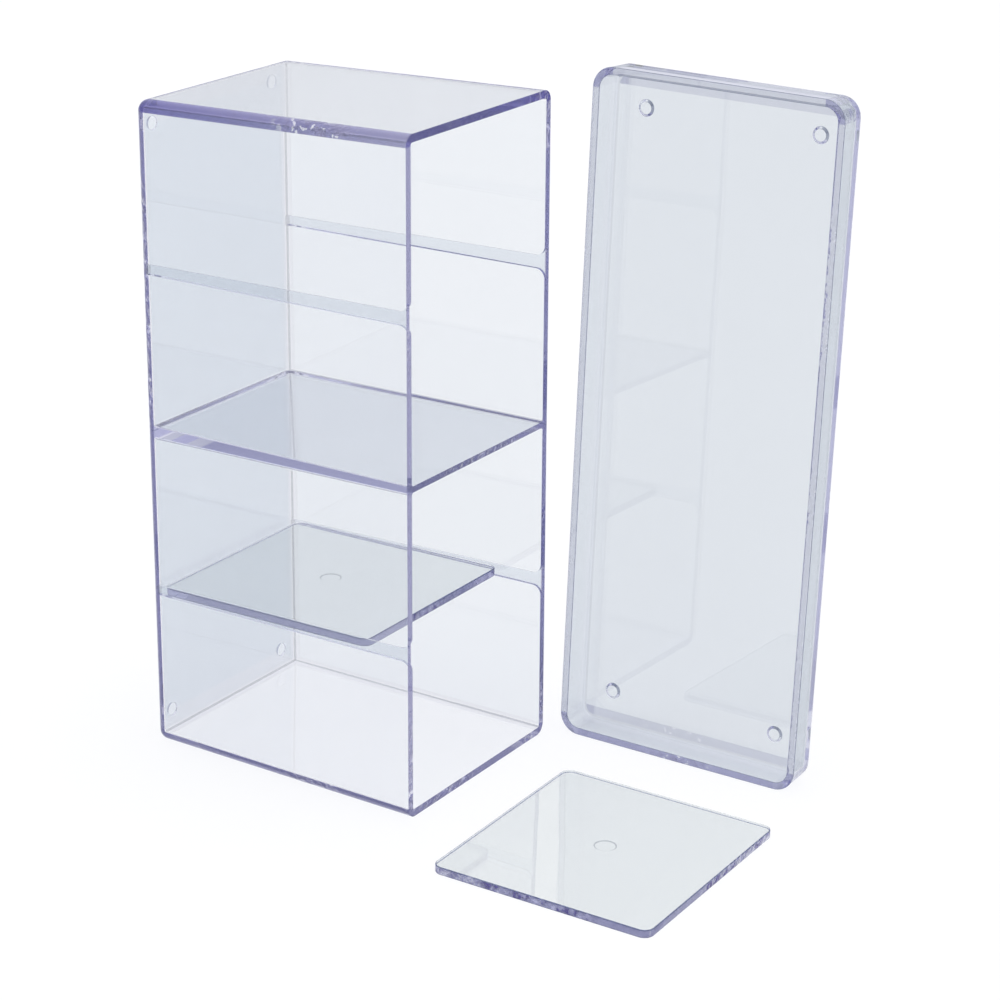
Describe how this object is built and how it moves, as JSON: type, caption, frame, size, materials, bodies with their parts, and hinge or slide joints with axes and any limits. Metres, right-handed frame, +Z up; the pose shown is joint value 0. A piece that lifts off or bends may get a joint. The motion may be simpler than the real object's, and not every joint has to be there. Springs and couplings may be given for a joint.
{
  "type": "card deck box",
  "caption": "Clear polystyrene card box standing on end with a fixed partition, a divider in its grooves, a loose divider lying in front and its slip-over lid leaning behind.",
  "frame": {"origin": "centre of the flat end face that the box stands on", "axes": "+Z up along the box's long side, +X out of its open mouth, +Y towards the back, where the lid stands"},
  "size_m": [0.1938, 0.1231, 0.2111],
  "materials": {
    "box_resin": "clear gloss with violet edges",
    "divider_resin": "clear gloss with violet edges",
    "lid_resin": "clear gloss with violet edges"
  },
  "bodies": {
    "box": {"box_body": "box_resin"},
    "divider_in_grooves": {"divider_fitted": "divider_resin"},
    "divider_on_table": {"divider_loose": "divider_resin"},
    "lid_piece": {"lid": "lid_resin"}
  },
  "joints": [
    {"name": "divider_slide", "type": "slide", "parent": "box", "child": "divider_in_grooves", "axis": [0.9998, 0, 0.0185], "range_m": [-0.0015, 0.095]},
    {"name": "loose_divider_lift", "type": "slide", "parent": "box", "child": "divider_on_table", "axis": [0, 0, 1], "range_m": [0, 0.1518]},
    {"name": "lid_lift", "type": "slide", "parent": "box", "child": "lid_piece", "axis": [0, 0, 1], "range_m": [0, 0.215]}
  ]
}
